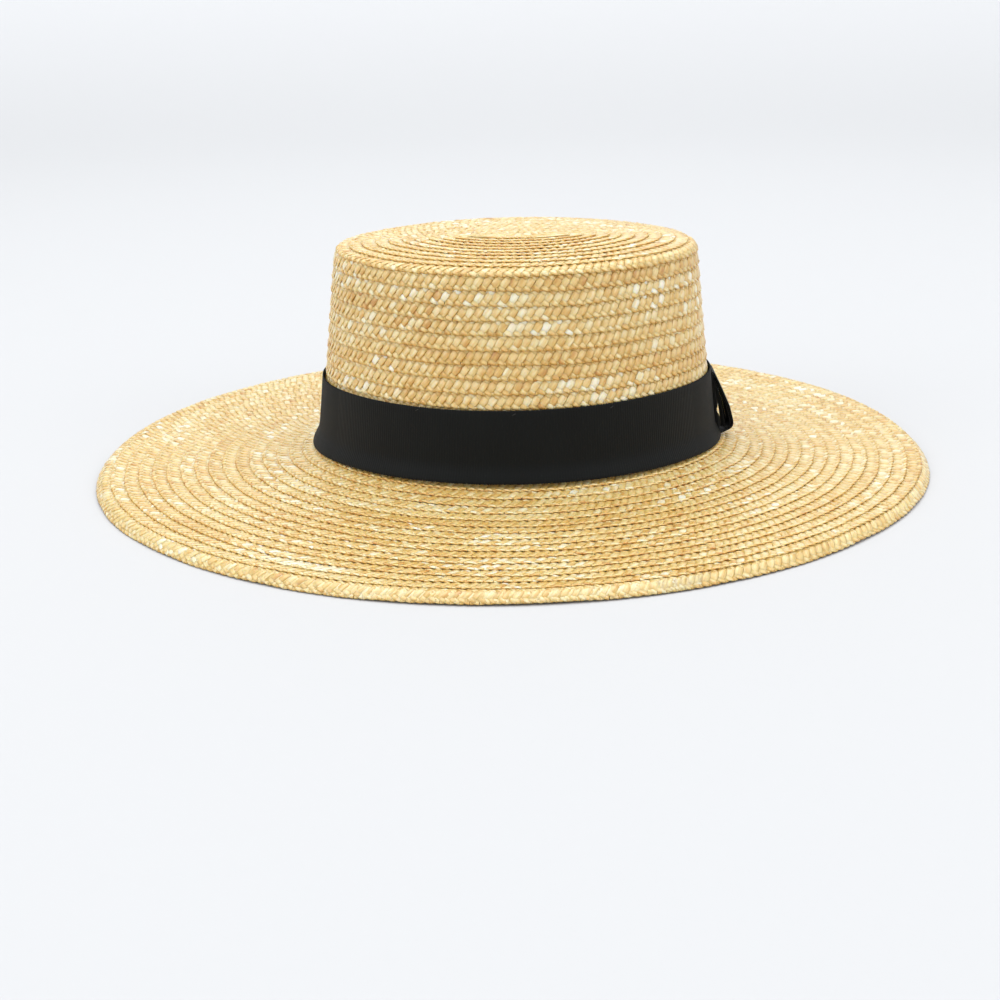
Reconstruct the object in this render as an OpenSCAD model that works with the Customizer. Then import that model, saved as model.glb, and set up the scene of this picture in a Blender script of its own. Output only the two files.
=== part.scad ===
// Straw sun hat: flat oval crown and wide brim sewn from plaited straw, with a ribbon band and a ribbon knot.
// Z is up and the hat rests on the edge of its brim. The long axis runs along Y, the knot is at the back (+Y).

/* [Head size] */
// Half length of the crown at its foot, front to back, outside
crown_a = 102; // [97:0.5:107]
// Half width of the crown at its foot, outside
crown_b = 83; // [78:0.5:88]

/* [Crown] */
// Height of the crown's foot above the table
foot_z = 13; // [10:0.5:16]
// Height of the whole hat
hat_h = 117; // [107:1:127]
// How far the side wall leans in from foot to top
wall_lean = 11.2; // [8:0.2:16]
// Number of plait rows on the side wall
wall_rows = 14; // [10:1:18]
// Number of plait rows on the tip
tip_rows = 7; // [5:1:10]
// How far the tip's middle rises above its rim
tip_rise = 2.6; // [0:0.2:5]

/* [Brim] */
// Width of the brim from the crown's foot to the outer edge
brim_w = 111; // [70:1:125]
// Number of flat plait rows on the brim
brim_rows = 16; // [10:1:20]
// Height of the last row, which is turned down at the rim
edge_h = 7; // [6:0.1:8]

/* [Straw plait] */
// Thickness of one plait
plait_t = 1.5; // [1.2:0.1:2]
// How far the edge of each row stands up over the next row
row_step = 0.8; // [0.4:0.1:1]
// Thickness of the sewing thread
thread_d = 0.4; // [0.3:0.05:0.6]

/* [Ribbon] */
// Width of the black ribbon
ribbon_w = 35.5; // [25:0.5:45]
// Thickness of the black ribbon
ribbon_t = 0.8; // [0.6:0.1:1.2]
// How far the foot of the ribbon flares out over the brim
band_flare = 2.4; // [1:0.2:5]
// Width of the knot that covers the ribbon's joined ends
knot_w = 16; // [12:1:20]
// How far the knot stands out at its fullest, near its lower end
knot_out = 10; // [8:0.5:12]

/* [Sweatband] */
// Height of the sweatband inside the crown
sweat_h = 30; // [20:1:35]
// Thickness of the sweatband
sweat_t = 0.9; // [0.6:0.1:1.2]

/* [Hidden] */
$fn = 96;
fit_gap = 0.1;                                      // clearance between pieces that only lie on each other

// The oval is four tangent arcs. Their centres and meeting points make 3-4-5 triangles, so every size in
// them is a short decimal and the sectors of a sweep meet exactly.
end_y = 2 * (crown_a - crown_b);                    // centres of the end arcs, on the Y axis
side_x = 0.75 * end_y;                              // centres of the side arcs, on the X axis
end_arc_r = crown_a - end_y;                        // radius of the front and back arcs
side_arc_r = crown_b + side_x;                      // radius of the side arcs
side_half = atan2(4, 3);                            // half the angle that a side arc spans

rim_z = hat_h - tip_rise;                           // height of the tip's rim
wall_top_z = rim_z - 6;                             // the wall stops under the turned-down row of the tip
wall_t = plait_t + row_step;                        // sewn thickness where two rows overlap
edge_in = brim_w - 2 * plait_t;                     // offset at which the edge row starts
brim_pitch = edge_in / brim_rows;
brim_mid_row = floor(brim_rows / 2);                // the brim is sewn from two plait lengths that meet here
band_top_z = foot_z + 0.8 + ribbon_w;
knot_h = ribbon_w + row_step;
tip_d = -wall_lean * (wall_top_z - foot_z) / (hat_h - foot_z);   // the tip's rim lies flush with the wall
tip_pitch = (end_arc_r + tip_d - 4) / tip_rows;     // rows stop 4 mm short of the end arcs' centres
wall_pitch = (wall_top_z - foot_z) / wall_rows;

// Offset of the wall's outer face from the foot oval at height z
function wall_d(z) = -wall_lean * (z - foot_z) / (hat_h - foot_z);

// Height of the brim's sewn plane at offset d: it slopes down from the crown and levels out towards the edge
function brim_z(d) = edge_h - row_step + (foot_z - edge_h + row_step) * pow(1 - d / brim_w, 3);

// Height of the tip above its rim, k rows in from the rim
function tip_z(k) = hat_h - tip_rise * pow(1 - k / tip_rows, 3);

// Sweep a section around the oval. In the section X is the offset from the foot oval and Y is the height.
module around_oval() {
    for (turn = [0, 180]) rotate([0, 0, turn]) {
        translate([-side_x, 0, 0]) intersection() {
            rotate_extrude(angle = 150, start = -75) translate([side_arc_r, 0]) children();
            sector([3, -4], [3, 4]);
        }
        translate([0, end_y, 0]) intersection() {
            rotate_extrude(angle = 120, start = 30) translate([end_arc_r, 0]) children();
            sector([3, 4], [-3, 4]);
        }
    }
}

// A tall wedge between two directions, which trims a sweep where it meets the next arc
module sector(from, to) {
    reach = 100;
    translate([0, 0, -10]) linear_extrude(hat_h + 20) polygon([[0, 0], from * reach, to * reach]);
}

// The oval at offset d as a flat outline
module oval(d) {
    intersection() {
        translate([-side_x, 0]) circle(side_arc_r + d);
        translate([side_x, 0]) circle(side_arc_r + d);
        union() {
            square([4 * crown_b, 2 * (side_arc_r + d) * sin(side_half)], center = true);
            for (end = [-1, 1]) translate([0, end * end_y]) circle(end_arc_r + d);
        }
    }
}

// Section of shingled brim rows: each row's outer edge lies on the row outside it. The extra points close it
// at the inner end.
module brim_section(first, last, inner_end = []) {
    upper = [for (k = [first : last - 1]) each [
        [k * brim_pitch, brim_z(k * brim_pitch)],
        [(k + 1) * brim_pitch, brim_z((k + 1) * brim_pitch) + row_step]]];
    lower = [for (k = [last - 1 : -1 : first]) each [
        [(k + 1) * brim_pitch, brim_z((k + 1) * brim_pitch) - plait_t + row_step],
        [k * brim_pitch, brim_z(k * brim_pitch) - plait_t]]];
    polygon(concat(upper, lower, inner_end));
}

// Section of the shingled side wall: each row's lower edge lies outside the row under it
module wall_section() {
    outer = [for (k = [0 : wall_rows - 1]) each [
        [wall_d(foot_z + k * wall_pitch), foot_z + k * wall_pitch],
        [wall_d(foot_z + (k + 1) * wall_pitch) - row_step, foot_z + (k + 1) * wall_pitch]]];
    polygon(concat(outer, [[tip_d - wall_t, wall_top_z], [-wall_t, foot_z]]));
}

module crown_tip() {
    core_d = tip_d - tip_rows * tip_pitch;
    over = [for (k = [0 : tip_rows - 1]) each [
        [tip_d - k * tip_pitch, tip_z(k)],
        [tip_d - (k + 1) * tip_pitch, tip_z(k + 1) - row_step]]];
    under = [for (k = [tip_rows : -1 : 1]) [tip_d - k * tip_pitch, tip_z(k) - row_step - plait_t]];
    color("wheat") {
        around_oval() polygon(concat(over, under, [[tip_d - wall_t, rim_z - row_step - plait_t],
            [tip_d - wall_t, wall_top_z], [tip_d, wall_top_z]]));
        translate([0, 0, hat_h - row_step - plait_t + 0.2]) linear_extrude(plait_t - 0.4) oval(core_d + 1);
    }
}

module crown_side() {
    color("goldenrod") around_oval() wall_section();
}

// The inner rows reach in under the wall's foot
module brim_inner() {
    color("wheat") around_oval()
        brim_section(0, brim_mid_row, [[-wall_t, foot_z - plait_t], [-wall_t, foot_z]]);
}

module brim_outer() {
    color("wheat") around_oval() brim_section(brim_mid_row, brim_rows);
}

// The last row is turned down, so its bottom is the face that the hat rests on
module brim_edge() {
    color("wheat") around_oval() polygon([
        [edge_in, brim_z(edge_in) - plait_t],
        [edge_in, brim_z(edge_in)],
        [brim_w - plait_t, edge_h],
        [brim_w, edge_h - plait_t],
        [brim_w, 0],
        [edge_in, 0]]);
}

module hat_band() {
    color("dimgray") around_oval() {
        flare_z = foot_z + 7;                       // the ribbon leaves the wall below this height
        foot = foot_z + row_step + fit_gap;
        polygon([
            [wall_d(band_top_z) + fit_gap, band_top_z],
            [wall_d(band_top_z) + fit_gap + ribbon_t, band_top_z],
            [wall_d(flare_z) + fit_gap + ribbon_t, flare_z],
            [band_flare + ribbon_t, foot],
            [band_flare, foot],
            [wall_d(flare_z) + fit_gap, flare_z]]);
    }
}

// The knot's own frame: on the band's face at the back, upright along the leaning wall
module at_knot() {
    lean = atan2(wall_lean, hat_h - foot_z);
    face = crown_a + fit_gap + ribbon_t;
    translate([0, face, foot_z]) rotate([lean, 0, 0]) children();
}

// How far the knot stands out at each height: like a wedge, thin at the band's upper edge and full just above
// the brim
function knot_stand(height) = knot_out * lookup(height / knot_h,
    [[0.04, 0.35], [0.09, 0.85], [0.13, 0.98], [0.18, 1], [0.42, 0.87], [0.97, 0.2], [1, 0.12]]);

// Side outline of the knot, with every edge set in by an inset
module knot_outline(inset) {
    low = 0.04 * knot_h + inset;
    high = knot_h - inset;
    outer = [for (k = [0 : 12])
        let (height = low + (high - low) * k / 12)
        [max(knot_stand(height) - inset, inset + 0.3), height]];
    polygon(concat(outer, [[inset, high], [inset, low]]));
}

// The knot is a short ribbon wrapped upright around the band's gathered ends
module ribbon_knot() {
    color("black") at_knot() rotate([90, 0, 90]) linear_extrude(knot_w, center = true) difference() {
        knot_outline(0);
        knot_outline(ribbon_t);
    }
}

// The gathered ends of the ribbon fill the knot
module knot_core() {
    color("black") at_knot() rotate([90, 0, 90]) linear_extrude(knot_w - 2, center = true)
        knot_outline(ribbon_t + fit_gap);
}

module sweatband() {
    top = foot_z + sweat_h;
    skin = wall_t + fit_gap;
    color("dimgray") around_oval() polygon([
        [wall_d(foot_z) - skin, foot_z - plait_t],
        [wall_d(top) - skin, top],
        [wall_d(top) - skin - sweat_t, top],
        [wall_d(foot_z) - skin - sweat_t, foot_z - plait_t]]);
}

// One turn of sewing thread around the oval, at an offset and height
module thread_run(d, z) {
    around_oval() translate([d, z]) circle(d = thread_d, $fn = 24);
}

// One run of thread between each pair of tip rows, on the underside
module tip_thread() {
    color("khaki") for (k = [1 : tip_rows - 1])
        thread_run(tip_d - k * tip_pitch, tip_z(k) - row_step - plait_t - thread_d / 2);
}

// One run of thread along each wall row, on the inside above the sweatband
module side_thread() {
    first = ceil((sweat_h + 1) / wall_pitch);
    color("khaki") for (k = [first : wall_rows - 1])
        thread_run(wall_d(foot_z + k * wall_pitch) - wall_t - thread_d, foot_z + k * wall_pitch);
}

// One run of thread along each brim row, on the underside
module brim_thread() {
    color("khaki") for (k = [1 : brim_rows - 1])
        thread_run(k * brim_pitch, brim_z(k * brim_pitch) - plait_t - thread_d / 2);
}

// Stitches that hold the sweatband, spaced around the four arcs
module sweatband_stitches() {
    stitch = [thread_d, 3, thread_d];
    d = wall_d(foot_z + 2) - wall_t - fit_gap - sweat_t - thread_d;
    side_r = side_arc_r + d;
    end_r = end_arc_r + d;
    side_step = 2 * side_half / 22;
    end_step = (180 - 2 * side_half) / 16;
    color("khaki") for (turn = [0, 180]) rotate([0, 0, turn]) {
        for (k = [0 : 21]) translate([-side_x, 0, foot_z + 2]) rotate([0, 0, -side_half + (k + 0.5) * side_step])
            translate([side_r, 0, 0]) cube(stitch, center = true);
        for (k = [0 : 15]) translate([0, end_y, foot_z + 2]) rotate([0, 0, side_half + (k + 0.5) * end_step])
            translate([end_r, 0, 0]) cube(stitch, center = true);
    }
}

// Small tack stitches that hold the ribbon's upper edge to the crown
module band_tacks() {
    tack = [thread_d, 2, 1.6];
    d = wall_d(band_top_z) + fit_gap + ribbon_t + thread_d;
    color("black") {
        for (side = [-1, 1]) for (turn = [-25, 0, 25])
            translate([-side * side_x, 0, band_top_z - 2]) rotate([0, 0, turn + (side < 0 ? 180 : 0)])
                translate([side_arc_r + d, 0, 0]) cube(tack, center = true);
        translate([0, -end_y, band_top_z - 2]) rotate([0, 0, -90])
            translate([end_arc_r + d, 0, 0]) cube(tack, center = true);
    }
}

crown_tip();
crown_side();
brim_inner();
brim_outer();
brim_edge();
hat_band();
ribbon_knot();
knot_core();
sweatband();
tip_thread();
side_thread();
brim_thread();
sweatband_stitches();
band_tacks();
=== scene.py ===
"""Straw sun hat, seen from its left side on a pale floor.

The crown and brim are one long four-strand plait, sewn in an oval spiral from the middle of the tip to the
brim's edge. Every strand of the plait is a mesh. So are the ribbon, the knot, the sweatband and the threads.
Lengths are in metres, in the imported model's frame: Z up, front of the hat at -Y, ribbon knot at +Y.
"""
import math

import bpy
import numpy as np
from mathutils import Matrix, Vector


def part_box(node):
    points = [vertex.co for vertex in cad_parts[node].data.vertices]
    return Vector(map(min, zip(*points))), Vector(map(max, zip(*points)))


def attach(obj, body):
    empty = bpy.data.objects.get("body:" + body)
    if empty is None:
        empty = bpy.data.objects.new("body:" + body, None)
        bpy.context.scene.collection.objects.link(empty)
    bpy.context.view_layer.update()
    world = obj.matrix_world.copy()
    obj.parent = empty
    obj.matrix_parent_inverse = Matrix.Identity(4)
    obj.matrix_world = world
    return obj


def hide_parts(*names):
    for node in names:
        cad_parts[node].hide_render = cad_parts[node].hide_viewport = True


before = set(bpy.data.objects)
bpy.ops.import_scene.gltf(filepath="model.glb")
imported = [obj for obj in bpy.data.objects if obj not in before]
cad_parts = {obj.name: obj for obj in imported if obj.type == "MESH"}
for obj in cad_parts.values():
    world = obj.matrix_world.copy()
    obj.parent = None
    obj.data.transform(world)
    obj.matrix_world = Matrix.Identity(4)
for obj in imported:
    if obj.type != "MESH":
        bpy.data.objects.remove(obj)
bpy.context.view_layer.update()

MM = 0.001
RNG = np.random.default_rng(58)

# Driving sizes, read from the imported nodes
SIDE_LOW, SIDE_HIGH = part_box("crown_side")
TIP_LOW, TIP_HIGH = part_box("crown_tip")
EDGE_LOW, EDGE_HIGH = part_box("brim_edge")
SWEAT_LOW, SWEAT_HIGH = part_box("sweatband")
BAND_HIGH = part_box("hat_band")[1]
KNOT_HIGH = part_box("ribbon_knot")[1]
FOOT_B = SIDE_HIGH[0]                       # half width of the crown's foot
FOOT_A = SIDE_HIGH[1]                       # half length of the crown's foot
FOOT_Z = SIDE_LOW[2]
TOP_Z = TIP_HIGH[2]
LONGER = FOOT_A - FOOT_B                    # every row is this much longer than wide, half for half
BRIM_W = EDGE_HIGH[0] - FOOT_B
WALL_LEAN = (FOOT_B - TIP_HIGH[0]) / (TIP_LOW[2] - FOOT_Z)   # lean in for each metre of height

# How the hat has settled
CROWN_BACK = 2.8 * MM                       # the crown stands this much behind the middle of the brim
LEAN_BACK = 0.013                           # and leans back this much for each metre of height
BRIM_LIFT = 2.6 * MM                        # the brim's right side stands this much off the floor
BRIM_WAVE = 0.3 * MM                        # and the brim's edge waves up and down by this much

# The plait
PLAIT_HALF = 3.25 * MM                      # from the plait's middle to the outermost crossing
TIP_PITCH = 6.6 * MM                        # from one turn to the next, on each part of the hat
WALL_PITCH = 6.9 * MM
BRIM_PITCH = 6.75 * MM
CHEVRON = 4.06 * MM                         # from one crossing to the next along the plait
STRAW_W = 4 * MM                            # width of a straw in the middle of the plait
FOLDED_W = 2.2 * MM                         # width of a straw where it folds back at the selvage
TURNING = 1.15                              # a strand turns evenly at 1 and later, near the selvage, above 1
STRAND_T = 0.56 * MM                        # thickness of a flattened straw
WEAVE_H = 0.34 * MM                         # how far a strand rises and dips at a crossing
TILT = 0.18 * MM                            # how far a straw's leading edge rides up over its neighbour
SELVAGE = PLAIT_HALF + FOLDED_W / 2         # from the plait's middle to its edge
SHINGLE = 1.12 * MM                         # rise of each turn's outer edge onto the next turn
SKIN = 1.3 * MM                             # from the hat's outer face in to the middle of the plait

# The ribbon
RIBBON_T = 0.6 * MM
RIB = 1.05 * MM                             # from one cross rib to the next
RIB_H = 0.055 * MM
SERRATION = 0.13 * MM                       # how far each rib stands out at the selvage
KNOT_TALL = KNOT_HIGH[2] - FOOT_Z - 2.2 * MM     # height of the knot, up the wall
KNOT_OUT = 9 * MM                           # how far the knot stands out at its fullest

# Thread
STITCH_R = 0.17 * MM                        # radius of the thread in the ribbon's and the tape's stitches
SEAM_R = 0.2 * MM                           # radius of the thread that joins the rows


def smooth(x):
    """Eases from 0 to 1 as x goes from 0 to 1."""
    x = np.clip(x, 0, 1)
    return x * x * (3 - 2 * x)


# ---------------------------------------------------------------- shape of the hat

def around(angle, half_w, z):
    """Points on the four-arc oval of a half width, where the outward normal has that angle."""
    centre = np.minimum(half_w - 0.3 * MM, 0)           # past the tip's middle line, points go straight on
    half_w = np.maximum(half_w, 0.3 * MM)
    end_r = np.where(half_w > 1.5 * LONGER, half_w - LONGER, half_w / 3)
    end_y = half_w + LONGER - end_r
    side_x = (end_y ** 2 - (half_w - end_r) ** 2) / (2 * (half_w - end_r))
    on_side = np.abs(np.sin(angle)) < end_y / np.hypot(end_y, side_x)
    radius = np.where(on_side, half_w + side_x, end_r) + centre
    x = np.where(on_side, -side_x * np.sign(np.cos(angle)), 0) + radius * np.cos(angle)
    y = np.where(on_side, 0, end_y * np.sign(np.sin(angle))) + radius * np.sin(angle)
    back = CROWN_BACK * (1 - smooth((half_w - FOOT_B) / BRIM_W)) + LEAN_BACK * np.maximum(z - FOOT_Z, 0)
    return np.stack(np.broadcast_arrays(x, y + back, z), -1)


def wall_w(z):
    """Half width of the wall's outer face at a height."""
    return FOOT_B - WALL_LEAN * (z - FOOT_Z)


def stage_reach(length, slope_from, slope_to):
    """How far out and up a stage of the meridian goes."""
    slope = np.linspace(slope_from, slope_to, 101)
    return length * np.cos(slope).mean(), length * np.sin(slope).mean()


class Meridian:
    """The plait's middle surface from the tip's centre to the brim's edge: a chain of straights and bends."""

    def __init__(self):
        wall = -math.atan2(1, WALL_LEAN)                # direction of the wall, below the horizontal
        dome = -np.radians([1.5, 5, 15])                # slopes of the tip, steeper towards its rim
        edge = math.radians(-50)                        # slope of the turned-down edge
        rim_l = [21 * MM, 7 * MM]                       # lengths over which the tip takes its last two slopes
        shoulder_r = 3.6 * MM                           # radii of the bends
        foot_r = 3.5 * MM
        edge_r = 3.2 * MM
        edge_l = 4.6 * MM                               # length of the edge after its bend
        edge_t = 0.7 * MM                               # from the middle surface to the brim's outermost face
        top_z = TOP_Z - 0.6 * MM                        # heights of the middle surface: at the tip's centre,
        foot_z = FOOT_Z - 0.5 * MM                      # where the brim begins
        rest_z = EDGE_LOW[2] - 0.2 * MM                 # and at its end

        rim = [(rim_l[0], dome[0], dome[1]), (rim_l[1], dome[1], dome[2]),
               (shoulder_r * (dome[2] - wall), dome[2], wall)]
        rim_out = sum(stage_reach(*stage)[0] for stage in rim)
        rim_up = sum(stage_reach(*stage)[1] for stage in rim)
        out, up = stage_reach(1, 0, dome[0])
        wall_top_w = FOOT_B - SKIN - WALL_LEAN * (top_z - FOOT_Z + rim_up)
        tip_l = (wall_top_w - rim_out) / (out - WALL_LEAN * up)

        edge_stages = [(edge_r * -edge, 0, edge), (edge_l, edge, edge)]
        edge_out = sum(stage_reach(*stage)[0] for stage in edge_stages)
        edge_up = sum(stage_reach(*stage)[1] for stage in edge_stages)
        brim_drop = foot_z - rest_z + edge_up
        inner = 0.35                                    # this share of the brim's width
        after = 0.2                                     # leaves this share of its slope at the foot
        mean_slope = (inner * (1 + after) + (1 - inner) * after) / 2
        brim_start = -brim_drop / (BRIM_W - edge_out) / mean_slope
        brim_middle = after * brim_start
        foot = (foot_r * (brim_start - wall), wall, brim_start)
        foot_out, foot_up = stage_reach(*foot)
        wall_l = (top_z + up * tip_l + rim_up - foot_z + foot_up) / math.sin(-wall)
        wall_out = wall_l * math.cos(wall)
        brim_out = FOOT_B + BRIM_W - edge_t - wall_top_w - wall_out - foot_out - edge_out
        inner_l, outer_l = inner * brim_out, (1 - inner) * brim_out
        inner_l /= stage_reach(1, brim_start, brim_middle)[0]
        outer_l /= stage_reach(1, brim_middle, 0)[0]

        stages = [(tip_l, 0, dome[0]), *rim, (wall_l, wall, wall), foot,
                  (inner_l, brim_start, brim_middle), (outer_l, brim_middle, 0), *edge_stages]
        step = 0.1 * MM
        slope = np.concatenate([np.linspace(a, b, max(2, round(length / step))) for length, a, b in stages])
        self.s = np.arange(len(slope)) * step
        self.slope = slope
        self.w = np.cumsum(np.cos(slope)) * step
        self.z = top_z + np.cumsum(np.sin(slope)) * step
        ends = np.cumsum([length for length, a, b in stages])
        self.tip_end, self.wall_end, self.length = ends[3] - shoulder_r, ends[5], self.s[-1]

    def at(self, s):
        """Half width, height and slope at a distance from the tip's centre."""
        half_w = np.interp(s, self.s, self.w) + np.minimum(s, 0)
        return half_w, np.interp(s, self.s, self.z), np.interp(s, self.s, self.slope)


MERIDIAN = Meridian()


def on_hat(angle, s, height):
    """Point on the hat: turned by angle, at distance s down the meridian, raised off its middle surface."""
    half_w, z, slope = MERIDIAN.at(s)
    past_foot = np.clip((s - MERIDIAN.wall_end) / BRIM_W, 0, 1)
    wave = BRIM_WAVE * (1 + np.sin(3 * angle + 0.8) * 0.6 + np.sin(5 * angle + 2.1) * 0.4)
    lift = BRIM_LIFT * smooth((0.4 - np.cos(angle)) / 1.4)      # none on the left, all of it on the right
    points = around(angle, half_w, z + np.cos(slope) * height + (wave + lift) * past_foot ** 2)
    out = -np.sin(slope) * height
    points[..., 0] += out * np.cos(angle)
    points[..., 1] += out * np.sin(angle)
    return points


def by_part(s, tip, wall, brim):
    """A value at a distance from the tip's centre, eased from part to part at the shoulder and the foot."""
    shoulder, foot = MERIDIAN.tip_end, MERIDIAN.wall_end
    ease = 5 * MM
    return np.interp(s, [shoulder - ease, shoulder + ease, foot - ease, foot + ease], [tip, wall, wall, brim])


class Spiral:
    """The plait's centre line: an angle and a distance down the meridian for each length along the plait."""

    def __init__(self):
        first = -1.1 * MM                               # past the middle line, so no gap is left there
        last = MERIDIAN.length - SELVAGE
        step = 0.05 * MM
        s = np.arange(first, last, step)
        pitch = by_part(s[1:], TIP_PITCH, WALL_PITCH, BRIM_PITCH)
        turns = np.concatenate([[0], np.cumsum(step / pitch)])
        total = turns[-1] + 1.03                        # the last turn stays at the edge and closes on itself
        all_turns = np.linspace(0, total, int(total * 360))
        self.angle = (all_turns * 2 - 1) * math.pi      # it starts halfway along the tip's middle line
        self.s = np.interp(all_turns, turns, s)
        line = on_hat(self.angle, self.s, np.zeros_like(self.s))
        self.along = np.concatenate([[0], np.cumsum(np.linalg.norm(np.diff(line, axis=0), axis=1))])
        self.length = self.along[-1]

    def place(self, along, across, height):
        """Points of the plait: a length along it, a distance across it and a height off it."""
        angle = np.interp(along, self.along, self.angle)
        s = np.interp(along, self.along, self.s)

        # The rows wander a little from an even spiral
        wander = 0.16 * MM * (np.sin(along * 41) + np.sin(along * 97 + 1.3) + 0.6 * np.sin(along * 233))

        at_start = smooth((LONGER + 5 * MM - along) / (10 * MM))        # 1 on the straight start, then 0
        at_end = 1 - np.clip((self.length - along) / (30 * MM), 0, 1)   # 0, then up to 1 at the very end
        across = across * (1 - 0.65 * at_end) - at_end * 2.5 * MM       # the end narrows and moves in
        tucked = at_start * 1.2 * MM + at_end * 1.0 * MM                # both ends go under the next turn
        tilt = SHINGLE * across / (2 * SELVAGE)
        return on_hat(angle, s + across + wander * (1 - at_end), height + tilt - tucked)


SPIRAL = Spiral()


# ---------------------------------------------------------------- mesh helpers

def make_mesh(name, points, quads, caps=()):
    """A mesh object from numpy points, four-cornered faces and optional end faces of equal size."""
    mesh = bpy.data.meshes.new(name)
    quads = np.asarray(quads, np.int32)
    caps = np.asarray(caps, np.int32)
    corners = [quads.ravel()]
    sizes = [np.full(len(quads), 4, np.int32)]
    if caps.size:
        corners.append(caps.ravel())
        sizes.append(np.full(len(caps), caps.shape[1], np.int32))
    corners = np.concatenate(corners)
    sizes = np.concatenate(sizes)
    starts = np.concatenate([[0], np.cumsum(sizes)[:-1]]).astype(np.int32)
    mesh.vertices.add(len(points))
    mesh.vertices.foreach_set("co", np.ascontiguousarray(points, np.float32).ravel())
    mesh.loops.add(len(corners))
    mesh.loops.foreach_set("vertex_index", corners)
    mesh.polygons.add(len(sizes))
    mesh.polygons.foreach_set("loop_start", starts)
    mesh.update(calc_edges=True)
    mesh.validate()
    mesh.shade_smooth()
    piece = bpy.data.objects.new(name, mesh)
    bpy.context.scene.collection.objects.link(piece)
    return piece


def add_values(piece, name, values):
    """A named value or vector on every point, for the material to read."""
    kind = "FLOAT" if values.ndim == 1 else "FLOAT_VECTOR"
    layer = piece.data.attributes.new(name, kind, "POINT")
    layer.data.foreach_set("value" if values.ndim == 1 else "vector", values.astype(np.float32).ravel())


def finish_piece(piece, material, slot_name, *nodes):
    """Gives a piece its material and body, and hides the CAD nodes it stands for."""
    piece.data.materials.append(material)
    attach(piece, "root")
    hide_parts(*nodes)


def tube_faces(rings, around_ring, closed=False):
    """Faces of one tube: rings of points joined lengthwise, and its two ends unless it closes on itself."""
    ring = np.arange(rings if closed else rings - 1)[:, None] * around_ring
    following = (ring + around_ring) % (rings * around_ring)
    k = np.arange(around_ring)[None, :]
    after = (k + 1) % around_ring
    quads = np.stack([ring + k, ring + after, following + after, following + k], -1).reshape(-1, 4)
    if closed:
        return quads, np.empty((0, around_ring), int)
    caps = np.stack([np.arange(around_ring)[::-1], (rings - 1) * around_ring + np.arange(around_ring)])
    return quads, caps


def many_tubes(count, rings, around_ring):
    """The faces of many equal tubes, one after the other."""
    quads, caps = tube_faces(rings, around_ring)
    shift = np.arange(count)[:, None, None] * rings * around_ring
    return (quads[None] + shift).reshape(-1, 4), (caps[None] + shift).reshape(-1, around_ring)


def unit(vectors):
    """The vectors' directions, each of length 1."""
    return vectors / np.maximum(np.linalg.norm(vectors, axis=-1, keepdims=True), 1e-12)


def thread(name, lines, radius, around_ring=6):
    """Round threads along equally long lines of points, shape (lines, points, 3)."""
    count, rings, _ = lines.shape
    forward = unit(np.gradient(lines, axis=1))
    askew = [0.13, 0.21, 0.97]                  # no thread runs in this direction
    side = unit(np.cross(forward, askew))
    up = np.cross(side, forward)
    turn = np.linspace(0, 2 * math.pi, around_ring, endpoint=False)[:, None]
    points = lines[:, :, None] + radius * (np.cos(turn) * side[:, :, None] + np.sin(turn) * up[:, :, None])
    piece = make_mesh(name, points.reshape(-1, 3), *many_tubes(count, rings, around_ring))
    length = np.cumsum(np.linalg.norm(np.diff(lines, axis=1, prepend=lines[:, :1]), axis=2), axis=1)
    twist = np.stack(np.broadcast_arrays(length[:, :, None], turn[:, 0] / (2 * math.pi), 0), -1)
    add_values(piece, "cloth", twist.reshape(-1, 3))
    return piece


def ribbon(name, grid, closed=False, rib_h=RIB_H, thickness=RIBBON_T):
    """Ribbed ribbon from a fine grid of middle points (along, across). Each rib is thicker than the gap next
    to it and stands out at the selvage."""
    columns, rows, _ = grid.shape
    steps = np.linalg.norm(np.diff(grid[:, rows // 2], axis=0), axis=1)
    length = np.concatenate([[0], np.cumsum(steps)])
    ribs = round(length[-1] / RIB)
    phase = np.cos(2 * math.pi * ribs * np.arange(columns) / (columns if closed else columns - 1))
    forward = (np.roll(grid, -1, 0) - np.roll(grid, 1, 0)) if closed else np.gradient(grid, axis=0)
    across = np.gradient(grid, axis=1)
    normal = unit(np.cross(forward, across))
    edge = np.zeros(rows)
    edge[0], edge[-1] = -1, 1
    grid = grid + unit(across) * (edge[None, :] * SERRATION * phase[:, None])[:, :, None]
    half = thickness / 2 * (1 - 0.35 * np.abs(edge))[None, :] + rib_h * phase[:, None]
    outer = grid + normal * half[:, :, None]
    inner = grid - normal * half[:, :, None]
    rings = np.concatenate([outer, inner[:, ::-1]], axis=1)
    piece = make_mesh(name, rings.reshape(-1, 3), *tube_faces(columns, 2 * rows, closed))
    height = np.concatenate([[0], np.cumsum(np.linalg.norm(np.diff(grid[columns // 2], axis=0), axis=1))])
    height = np.concatenate([height, height[::-1]])
    cloth = np.stack(np.broadcast_arrays(length[:, None], height[None, :], 0), -1)
    add_values(piece, "cloth", cloth.reshape(-1, 3))
    return piece


# ---------------------------------------------------------------- straw

# A run is the stretch of a strand from one selvage (-1) to the other (1). These are the places of its
# cross-sections, and how high a run that goes over in the middle lies at each. The other runs are its mirror.
RUN_STATIONS = np.array([-1, -0.75, -0.5, -0.25, 0, 0.25, 0.5, 0.75, 1])
RUN_HEIGHTS = np.array([0, -0.8, -1, 0.7, 1, 0.7, -1, -0.8, 0])

# A straw's cross-section: its points across and up, and the one that moves sideways with the straw's crease
SECTION_ACROSS = np.array([-1, -0.8, 0, 0.8, 1, 0])
SECTION_UP = np.array([0.2, 0.72, 1.05, 0.72, 0.2, -0.35])
SECTION_RIDGE = np.array([0, 0, 1, 0, 0, 0])


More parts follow.
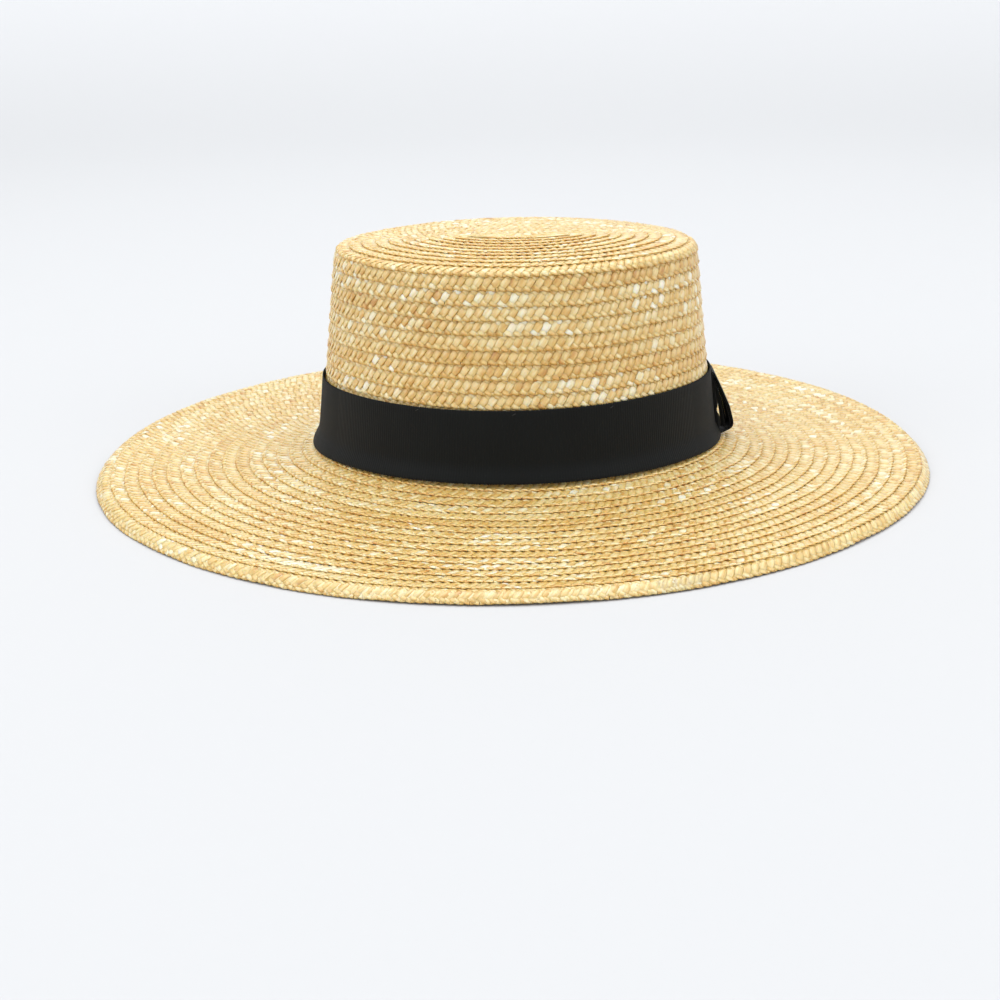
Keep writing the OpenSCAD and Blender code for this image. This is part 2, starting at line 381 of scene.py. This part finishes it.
def strand_tones(crossings):
    """One tone for each run. A strand is made of straws that each show at a few crossings before the next.
    Pale straws are short and come in patches."""
    tones = np.empty((2, crossings))
    patches = np.convolve(RNG.normal(0, 1, crossings), np.full(9, 1 / 3), "same")
    for strand in range(4):
        showings = 0
        for n in range(strand, crossings, 2):
            if showings <= 0:
                tone = np.clip(RNG.normal(0.42, 0.085), 0.12, 0.75)
                showings = RNG.integers(3, 12)
                pale_chance = 0.34 if patches[n] > 0.7 else 0.1
                if RNG.random() < pale_chance:
                    tone = RNG.uniform(0.66, 0.92)
                    showings = RNG.integers(1, 5)
            showings -= 1
            falling = ((n - strand) // 2) % 2
            tones[falling, n] = tone
    return np.clip(tones + RNG.normal(0, 0.055, tones.shape), 0, 1)


def plait_piece(name, start, end, tones, material, node):
    """All runs of straw between two lengths along the plait, as closed flattened straws."""
    first, last = int(start / CHEVRON) + 1, int(end / CHEVRON)
    n = np.arange(first, last + 1)
    rising = np.repeat([1.0, -1.0], len(n))[:, None, None]
    tone = np.concatenate([tones[0, n], tones[1, n]])
    count = len(tone)
    centre = (np.concatenate([n, n]) * CHEVRON + RNG.normal(0, 0.16 * MM, count))[:, None, None]
    wide = RNG.uniform(0.9, 1.0, count)[:, None, None]
    crease = RNG.uniform(-0.6, 0.6, count)[:, None, None]
    lift = RNG.normal(0, 0.05 * MM, count)[:, None, None]
    bulge = RNG.uniform(0.85, 1.15, count)[:, None, None]

    # A run crosses the middle steeply, then turns until it lies along the selvage
    station = RUN_STATIONS[None, :, None]
    inside = 1 - np.abs(station)
    swing = math.pi / 2 * np.sign(station) * (1 - inside ** TURNING)
    middle_along = centre - rising * station * CHEVRON
    middle_across = PLAIT_HALF * np.sin(swing)
    heading_along = -rising * CHEVRON
    heading_across = PLAIT_HALF * math.pi / 2 * np.cos(swing) * TURNING * inside ** (TURNING - 1)
    heading = np.hypot(heading_along, heading_across)
    width = STRAW_W + (FOLDED_W - STRAW_W) * smooth((np.abs(station) - 0.2) / 0.5)
    half = wide * width / 2 * (SECTION_ACROSS + crease * SECTION_RIDGE)
    along = middle_along + half * heading_across / heading * rising
    across = middle_across - half * heading_along / heading * rising

    weave = rising * RUN_HEIGHTS[None, :, None]
    pressed = by_part(np.interp(centre, SPIRAL.along, SPIRAL.s), 0.6, 1, 0.6)       # tip and brim are flatter
    height = pressed * (WEAVE_H * weave + lift + TILT * SECTION_ACROSS * inside)
    doubled = 1 + 0.5 * smooth(2 * np.abs(station) - 1)         # a straw lies double where it folds back
    height = height + STRAND_T * bulge * doubled * (SECTION_UP - 0.3)
    along, across, height = np.broadcast_arrays(along, across, height)
    points = SPIRAL.place(along.ravel(), across.ravel(), height.ravel())

    quads, caps = many_tubes(count, len(RUN_STATIONS), len(SECTION_UP))
    piece = make_mesh(name, points, quads, caps)
    add_values(piece, "tone", np.repeat(tone, len(RUN_STATIONS) * len(SECTION_UP)))
    run_length = station * PLAIT_HALF * 1.5 + RNG.uniform(0, 1, count)[:, None, None]   # no two straws match
    # Marks where the material paints shade: where the straw dips under another, and along its cut edges,
    # which are also a little darker in the straw itself
    tucked = np.maximum(np.abs(SECTION_ACROSS) ** 3, (1 - weave) / 2)       # at its edges and where it dips
    straw = np.stack(np.broadcast_arrays(run_length, half, tucked), -1)
    add_values(piece, "straw", straw.reshape(-1, 3))
    finish_piece(piece, material, "straw", node)


def make_plait(material):
    """The whole spiral, cut into pieces at the shoulder, down the wall, at the foot and through the brim."""
    tones = strand_tones(int(SPIRAL.length / CHEVRON) + 2)
    tip_end, foot = MERIDIAN.tip_end, MERIDIAN.wall_end
    brim = MERIDIAN.length - foot
    edge = SPIRAL.s[-1] - 0.01 * MM
    under_ribbon = foot - (BAND_HIGH[2] - FOOT_Z) + 6 * MM
    half_way_down = (tip_end + under_ribbon) / 2

    # Name, distances from the tip's centre and CAD node. The brim is cut at shares of its width.
    cuts = [
        ("tip_plait", 0, tip_end, "crown_tip"),
        ("side_plait_1", tip_end, half_way_down, "crown_side"),
        ("side_plait_2", half_way_down, under_ribbon, "crown_side"),
        ("side_plait_3", under_ribbon, foot, "crown_side"),
        ("brim_plait_1", foot, foot + 0.27 * brim, "brim_inner"),
        ("brim_plait_2", foot + 0.27 * brim, foot + 0.49 * brim, "brim_inner"),
        ("brim_plait_3", foot + 0.49 * brim, foot + 0.68 * brim, "brim_outer"),
        ("brim_plait_4", foot + 0.68 * brim, foot + 0.85 * brim, "brim_outer"),
        ("brim_plait_5", foot + 0.85 * brim, edge, "brim_outer"),
        ("edge_plait", edge, None, "brim_edge"),
    ]
    for name, s_from, s_to, node in cuts:
        start = np.interp(s_from, SPIRAL.s, SPIRAL.along) if s_from else 0
        end = SPIRAL.length - 4 * CHEVRON if s_to is None else np.interp(s_to, SPIRAL.s, SPIRAL.along)
        plait_piece(name, start, end, tones, material, node)


def make_seams(material):
    """The thread that sews each turn to the next: a chain on the underside that follows the spiral."""
    parts = [
        ("tip_seam", 1.2 * TIP_PITCH, MERIDIAN.tip_end - 3 * MM, "tip_thread"),
        ("side_seam", MERIDIAN.tip_end + 6 * MM, MERIDIAN.wall_end - 4 * MM, "side_thread"),
        ("brim_seam", MERIDIAN.wall_end + 6 * MM, SPIRAL.s[-1] - 2 * MM, "brim_thread"),
    ]
    for name, s_from, s_to, node in parts:
        start, end = np.interp([s_from, s_to], SPIRAL.s, SPIRAL.along)
        along = np.arange(start, end, 1.0 * MM)
        link = np.sin(2 * math.pi * along / (5 * MM))           # a swing to each side every 5 mm
        across = -SELVAGE + 1.3 * MM + 0.22 * MM * link         # near the edge that lies under the last turn
        height = -STRAND_T - WEAVE_H - 0.12 * MM - 0.1 * MM * np.abs(link)
        line = SPIRAL.place(along, across, height)
        finish_piece(thread(name, line[None], SEAM_R, 5), material, "straw_thread", node)


# ---------------------------------------------------------------- ribbon, knot and sweatband

# Ribs once round the crown's foot, and four angles for each of them
CROWN_RIBS = round(math.pi * (FOOT_A + FOOT_B) / RIB)
RING = np.linspace(0, 2 * math.pi, 4 * CROWN_RIBS, endpoint=False)[:, None]

# Places from one selvage of the knot's ribbon (-1) to the other (1)
KNOT_ACROSS = np.concatenate([[-1, -0.98], np.linspace(-0.9, 0.9, 13), [0.98, 1]])[None, :]


def make_band(material):
    """The ribbon round the foot of the crown. It hugs the wall and flares out a little over the brim."""
    low, high = FOOT_Z + 0.5 * MM, BAND_HIGH[2]
    flare = BAND_HIGH[0] - FOOT_B - RIBBON_T
    angle = RING + math.pi / 2                  # its ends meet under the knot
    share = np.concatenate([[0, 0.008], np.linspace(0.05, 0.95, 13), [0.992, 1]])[None, :]
    rise = 1.6 * MM * np.cos(angle) ** 2 * (1 - share)          # the foot sits higher at the two sides
    z = low + (high - low) * share + rise + 0.25 * MM * np.sin(2 * angle + 0.6) * (0.4 + 0.6 * share)
    slack = 0.3 * MM * np.sin(3 * angle + 1.9) * np.sin(math.pi * share)
    stand_off = 0.5 * MM + RIBBON_T / 2 + flare * (1 - smooth((z - rise - low) / (10 * MM))) ** 1.5 + slack
    piece = ribbon("ribbon_band", around(angle, wall_w(z) + stand_off, z), closed=True)
    finish_piece(piece, material, "black_ribbon", "hat_band")


def knot_profile(height):
    """How far the knot stands out at each height above the band's foot: thin on top, full near the brim."""
    return KNOT_OUT * np.interp(height / KNOT_TALL, [0.04, 0.09, 0.13, 0.18, 0.42, 0.8, 0.97, 1],
                                [0.35, 0.85, 0.98, 1, 0.87, 0.42, 0.2, 0.12])


def at_knot(x, out, height):
    """Points in the knot's own frame: sideways, out from the band's face and up the leaning wall."""
    lean = math.atan(WALL_LEAN)
    face = FOOT_A + 0.9 * MM + CROWN_BACK
    y = face + out * math.cos(lean) - height * math.sin(lean)
    z = FOOT_Z + out * math.sin(lean) + height * math.cos(lean)
    return np.stack(np.broadcast_arrays(x, y, z), -1)


def even_path(points, closed):
    """A rounded copy of a path with four points for each rib, and the path's length. Any values after a
    point's first two are carried along."""
    if closed:
        points = np.concatenate([points, points[:1]])
    length = np.concatenate([[0], np.cumsum(np.linalg.norm(np.diff(points[:, :2], axis=0), axis=1))])
    columns = 4 * round(length[-1] / RIB)
    even = np.linspace(0, length[-1], columns, endpoint=not closed)
    path = np.stack([np.interp(even, length, values) for values in points.T], -1)
    for _ in range(12):
        rounded = (np.roll(path, 1, 0) + 2 * path + np.roll(path, -1, 0)) / 4
        if not closed:
            rounded[0], rounded[-1] = path[0], path[-1]
        path = rounded
    return path, length[-1]


def make_knot(material):
    """The short ribbon wrapped upright round the band's joined ends, in soft lengthwise folds."""
    half_w = KNOT_HIGH[0]
    outside = np.linspace(0.04, 1, 40) * KNOT_TALL
    inside = np.linspace(0.99, 0.045, 24) * KNOT_TALL
    path, length = even_path(np.concatenate([np.stack([knot_profile(outside), outside], -1),
                                             np.stack([np.full(24, 0.5 * MM), inside], -1)]), closed=True)
    out, height = path[:, :1], path[:, 1:]
    away = smooth((out - 1 * MM) / (4 * MM))
    x = half_w * KNOT_ACROSS * (1 - 0.06 * away)
    fold = 0.3 * MM * np.sin(math.pi * KNOT_ACROSS) * away
    piece = ribbon("knot_wrap", at_knot(x, out + fold, height), closed=True)
    finish_piece(piece, material, "black_ribbon", "ribbon_knot")


def make_knot_folds(material):
    """The ribbon's gathered end inside the knot: three layers, each waved so that it meets the next one."""
    half_w = KNOT_HIGH[0] - 0.9 * MM
    nearest = 1.15 * MM                         # from the band's face to the first layer
    room = 1.95 * MM                            # depth of the knot that the layers can't use
    layers = []
    for layer in range(3):
        height = np.linspace(0.11, 0.86, 20)[::(-1) ** layer] * KNOT_TALL
        step = (knot_profile(height) - room).clip(0) / 2
        wave = (-1) ** layer * (step - RIBBON_T).clip(0) / 2
        layers.append(np.stack([nearest + layer * step, height, wave], -1))
    path, length = even_path(np.concatenate(layers), closed=False)
    out, height, wave = path[:, :1], path[:, 1:2], path[:, 2:]

    # The first layer stays flat at one spot, so that it leaves a gap there
    gap = np.exp(-((height - 12.5 * MM) / (2 * MM)) ** 2 - ((out - nearest) / (0.8 * MM)) ** 2)
    waved = out + wave * (1 - gap) * np.sin(math.pi * KNOT_ACROSS)
    waved = np.clip(waved, nearest, nearest + (knot_profile(height) - room).clip(0))
    piece = ribbon("knot_folds", at_knot(half_w * KNOT_ACROSS, waved, height))
    finish_piece(piece, material, "black_ribbon", "knot_core")


def make_band_tacks(material):
    """Small stitches that hold the ribbon's upper edge to the crown: three on each side and one in front."""
    angle = np.radians([-25, 0, 25, 155, 180, 205, -90])[:, None]
    z = BAND_HIGH[2] - 1.6 * MM
    run = np.linspace(-1, 1, 7)                 # from one end of a stitch to the other
    arch = wall_w(z) + 0.5 * MM + RIBBON_T + 0.12 * MM - 0.45 * MM * run ** 4
    lines = around(angle + run * 0.9 * MM / FOOT_A, arch, z + 0.5 * MM * run)
    piece = thread("band_tack_threads", lines, STITCH_R)
    finish_piece(piece, material, "black_thread", "band_tacks")


def make_sweatband(tape, sewing):
    """The soft tape inside the foot of the crown, and the stitches along its lower edge."""
    low, high = SWEAT_LOW[2] + 0.2 * MM, SWEAT_HIGH[2]
    inset = FOOT_B - SWEAT_HIGH[0] + 1.1 * MM
    share = np.concatenate([[0, 0.01], np.linspace(0.06, 0.94, 9), [0.99, 1]])[None, :]
    z = low + (high - low) * share + 0.2 * MM * np.sin(5 * RING) * share
    slack = 0.25 * MM * np.sin(7 * RING + 0.4) * share
    grid = around(RING, wall_w(z) - inset - slack, z)
    piece = ribbon("sweatband_tape", grid[::-1], closed=True, rib_h=0.03 * MM)
    finish_piece(piece, tape, "sweatband_ribbon", "sweatband")

    count = 84
    run = np.linspace(-1, 1, 7)                 # from one end of a stitch to the other
    centre = (np.arange(count) + 0.5) / count * 2 * math.pi
    angle = centre[:, None] + run * 1.7 * MM / FOOT_A
    z = low + 3 * MM
    arch = wall_w(z) - inset - RIBBON_T / 2 - 0.12 * MM + 0.4 * MM * run ** 4
    piece = thread("sweatband_sewing", around(angle, arch, z), STITCH_R)
    finish_piece(piece, sewing, "straw_thread", "sweatband_stitches")


# ---------------------------------------------------------------- materials

def nodes_of(material):
    """A fresh node tree with its Principled shader, and helpers that add and join nodes."""
    material.use_nodes = True
    tree = material.node_tree
    shader = tree.nodes["Principled BSDF"]

    def add(kind, **settings):
        node = tree.nodes.new(kind)
        for key, value in settings.items():
            if key in node.inputs:
                node.inputs[key].default_value = value
            else:
                setattr(node, key, value)
        return node

    return shader, add, tree.links.new


def ramp(add, link, value, stops):
    """A colour ramp fed by a value. Stops are (position, colour)."""
    node = add("ShaderNodeValToRGB")
    elements = node.color_ramp.elements
    elements[0].position, elements[0].color = stops[0][0], (*stops[0][1], 1)
    elements[1].position, elements[1].color = stops[-1][0], (*stops[-1][1], 1)
    for position, colour in stops[1:-1]:
        elements.new(position).color = (*colour, 1)
    link(value, node.inputs["Fac"])
    return node.outputs["Color"]


def noise(add, link, vector, scale, detail, roughness=0.5):
    """Noise in a piece's own coordinates, with a scale for each of them."""
    stretch = add("ShaderNodeMapping", Scale=scale)
    link(vector, stretch.inputs["Vector"])
    texture = add("ShaderNodeTexNoise", Scale=1, Detail=detail, Roughness=roughness)
    link(stretch.outputs["Vector"], texture.inputs["Vector"])
    return texture.outputs["Fac"]


def plus(add, link, total, value, share):
    """A total with a share of another value added to it."""
    node = add("ShaderNodeMath", operation="MULTIPLY_ADD")
    link(value, node.inputs[0])
    node.inputs[1].default_value = share
    link(total, node.inputs[2])
    return node.outputs["Value"]


def between(add, link, value, low, high):
    """A value of 0 to 1 spread from low to high."""
    node = add("ShaderNodeMapRange")
    link(value, node.inputs["Value"])
    node.inputs["To Min"].default_value = low
    node.inputs["To Max"].default_value = high
    return node.outputs["Result"]


def fine_relief(add, link, shader, value, strength, distance):
    """Relief too fine for the mesh."""
    bump = add("ShaderNodeBump", Strength=strength, Distance=distance)
    link(value, bump.inputs["Height"])
    link(bump.outputs["Normal"], shader.inputs["Normal"])


def straw_material():
    """Split wheat straw: golden, from orange-tan to near white, with lengthwise fibres and a satin gloss.
    Painted shade darkens it where it dips under another straw; along its cut edges the darkening is partly
    the straw's own colour, partly painted shade.
    """
    material = bpy.data.materials.new("wheat_straw")
    shader, add, link = nodes_of(material)
    tone = add("ShaderNodeAttribute", attribute_name="tone")
    straw = add("ShaderNodeAttribute", attribute_name="straw")

    parts = add("ShaderNodeSeparateXYZ")
    link(straw.outputs["Vector"], parts.inputs["Vector"])
    tucked = parts.outputs["Z"]                 # 1 at a straw's edges and where it dips under another

    fibres = noise(add, link, straw.outputs["Vector"], (120, 4200, 0), 3, 0.6)
    blotches = noise(add, link, straw.outputs["Vector"], (260, 500, 0), 2)
    shade = plus(add, link, tone.outputs["Fac"], fibres, 0.4)
    shade = plus(add, link, shade, blotches, 0.8)
    # Painted shade: darker where the straw dips under another; along its cut edges partly painted shade,
    # partly the straw's own darker colour
    shade = plus(add, link, shade, tucked, -0.26)               # darker there
    centred = add("ShaderNodeMath", operation="SUBTRACT")
    link(shade, centred.inputs[0])
    centred.inputs[1].default_value = 0.52                      # takes off most of what the noises add
    colour = ramp(add, link, centred.outputs["Value"], [
        (0.0, (0.45, 0.205, 0.03)), (0.25, (0.6, 0.36, 0.088)), (0.5, (0.71, 0.512, 0.213)),
        (0.75, (0.765, 0.642, 0.392)), (1.0, (0.83, 0.765, 0.61))])
    link(colour, shader.inputs["Base Color"])

    link(between(add, link, fibres, 0.27, 0.46), shader.inputs["Roughness"])
    link(between(add, link, tucked, 0.95, 0.1), shader.inputs["Coat Weight"])   # it shines elsewhere
    fine_relief(add, link, shader, fibres, 0.4, 0.08 * MM)
    shader.inputs["Specular IOR Level"].default_value = 0.6
    shader.inputs["Coat Roughness"].default_value = 0.38
    shader.inputs["Subsurface Weight"].default_value = 0.4
    shader.inputs["Subsurface Radius"].default_value = (1.0, 0.6, 0.22)
    shader.inputs["Subsurface Scale"].default_value = 1.8 * MM
    return material


def grosgrain_material(name, colour, sheen):
    """Ribbed ribbon: the cross ribs are geometry, and a fine warp runs along it."""
    material = bpy.data.materials.new(name)
    shader, add, link = nodes_of(material)
    cloth = add("ShaderNodeAttribute", attribute_name="cloth")
    warp = noise(add, link, cloth.outputs["Vector"], (900, 5200, 0), 2)
    dust = noise(add, link, cloth.outputs["Vector"], (60, 40, 0), 4)
    shade = plus(add, link, dust, warp, 0.6)
    dark = tuple(0.7 * c for c in colour)
    light = tuple(1.45 * c for c in colour)
    link(ramp(add, link, shade, [(0.45, dark), (1.1, light)]), shader.inputs["Base Color"])
    link(between(add, link, warp, 0.52, 0.72), shader.inputs["Roughness"])
    fine_relief(add, link, shader, warp, 0.4, 0.05 * MM)
    shader.inputs["Specular IOR Level"].default_value = 0.14
    shader.inputs["Sheen Weight"].default_value = sheen
    shader.inputs["Sheen Roughness"].default_value = 0.5
    return material


def thread_material(name, colour):
    """Twisted sewing thread, with a painted highlight: a little lighter along its raised ply."""
    material = bpy.data.materials.new(name)
    shader, add, link = nodes_of(material)
    cloth = add("ShaderNodeAttribute", attribute_name="cloth")
    ply = noise(add, link, cloth.outputs["Vector"], (2600, 3, 0), 1)
    dark = tuple(0.75 * c for c in colour)
    light = tuple(1.2 * c for c in colour)
    # painted highlight: the colour is lighter where the ply is raised
    link(ramp(add, link, ply, [(0.35, dark), (0.65, light)]), shader.inputs["Base Color"])
    fine_relief(add, link, shader, ply, 0.5, 0.05 * MM)
    shader.inputs["Roughness"].default_value = 0.6
    return material


# ---------------------------------------------------------------- studio

def make_studio():
    """A pale floor that curves up into a backdrop, with wide soft light from above and both sides."""
    across = np.linspace(-14, 14, 3)
    bend = np.linspace(0, math.pi / 2, 17)
    bend_from, bend_r, top = -1.4, 3.2, 6.0
    away = np.concatenate([[14.0, 0.0], bend_from - bend_r * np.sin(bend), [bend_from - bend_r]])
    rise = np.concatenate([[0.0, 0.0], bend_r * (1 - np.cos(bend)), [top]])
    points = np.array([[x, y, z] for x, z in zip(away, rise) for y in across])
    corner = np.arange(len(points)).reshape(len(away), len(across))
    quads = np.stack([corner[:-1, :-1], corner[:-1, 1:], corner[1:, 1:], corner[1:, :-1]], -1)
    floor = make_mesh("floor", points, quads.reshape(-1, 4))
    material = bpy.data.materials.new("pale_floor")
    shader, add, link = nodes_of(material)

    # The lamps are brightest near the hat, so the floor is darker there and looks evenly pale
    place = add("ShaderNodeNewGeometry")
    away_from_lamps = add("ShaderNodeVectorMath", operation="LENGTH")
    link(place.outputs["Position"], away_from_lamps.inputs[0])
    fading = add("ShaderNodeMapRange", interpolation_type="SMOOTHSTEP")
    fading.inputs["From Min"].default_value = 1.2
    fading.inputs["From Max"].default_value = 4.5
    link(away_from_lamps.outputs["Value"], fading.inputs["Value"])
    link(ramp(add, link, fading.outputs["Result"], [(0, (0.53, 0.536, 0.544)), (1, (0.92, 0.93, 0.945))]),
         shader.inputs["Base Color"])
    shader.inputs["Roughness"].default_value = 0.9
    shader.inputs["Specular IOR Level"].default_value = 0.1
    floor.data.materials.append(material)

    world = bpy.data.worlds.new("studio")
    world.use_nodes = True
    world.node_tree.nodes["Background"].inputs["Color"].default_value = (0.96, 0.975, 1, 1)
    world.node_tree.nodes["Background"].inputs["Strength"].default_value = 0.95
    bpy.context.scene.world = world

    def lamp(name, place, size, power, aim=(0, 0, 0)):
        """A square soft lamp of a size in metres and a power in watts, aimed at a point."""
        light = bpy.data.lights.new(name, "AREA")
        light.shape = "SQUARE"
        light.size = size
        light.energy = power
        holder = bpy.data.objects.new(name, light)
        holder.location = place
        holder.rotation_euler = (Vector(aim) - Vector(place)).to_track_quat("-Z", "Y").to_euler()
        bpy.context.scene.collection.objects.link(holder)

    lamp("overhead", (-0.2, 0.0, 2.2), 2.4, 42)
    lamp("front_left", (1.1, -1.8, 1.4), 1.2, 13)
    lamp("front_right", (1.1, 1.8, 1.4), 1.2, 11)
    lamp("backdrop", (-1.8, 0.0, 2.6), 2.4, 15, aim=(-4.4, 0, 0.6))
    bpy.context.scene.view_settings.view_transform = "Standard"


def make_camera():
    """A camera at the wearer's left and a little behind, that looks down at the hat with a slight roll."""
    elevation = math.radians(18.28)
    azimuth = math.radians(1.38)
    roll = math.radians(-1.28)
    distance = 0.837
    data = bpy.data.cameras.new("camera")
    data.sensor_width = 36                      # millimetres, like the lens
    data.lens = 57.6
    data.shift_x = -0.0119
    data.shift_y = -0.0422
    camera = bpy.data.objects.new("camera", data)
    level = math.cos(elevation)
    offset = Vector((level * math.cos(azimuth), level * math.sin(azimuth), math.sin(elevation))) * distance
    turn = (-offset).to_track_quat("-Z", "Y").to_matrix().to_4x4() @ Matrix.Rotation(roll, 4, "Z")
    camera.matrix_world = Matrix.Translation(offset) @ turn
    bpy.context.scene.collection.objects.link(camera)
    bpy.context.scene.camera = camera


make_camera()
make_studio()
STRAW = straw_material()
RIBBON = grosgrain_material("black_grosgrain", (0.0010, 0.0017, 0.0018), 0.07)
TAPE = grosgrain_material("sweatband_tape", (0.02, 0.02, 0.022), 0.3)
STRAW_THREAD = thread_material("straw_sewing_thread", (0.72, 0.58, 0.3))
BLACK_THREAD = thread_material("black_sewing_thread", (0.012, 0.012, 0.012))
make_plait(STRAW)
make_seams(STRAW_THREAD)
make_band(RIBBON)
make_knot(RIBBON)
make_knot_folds(RIBBON)
make_band_tacks(BLACK_THREAD)
make_sweatband(TAPE, STRAW_THREAD)
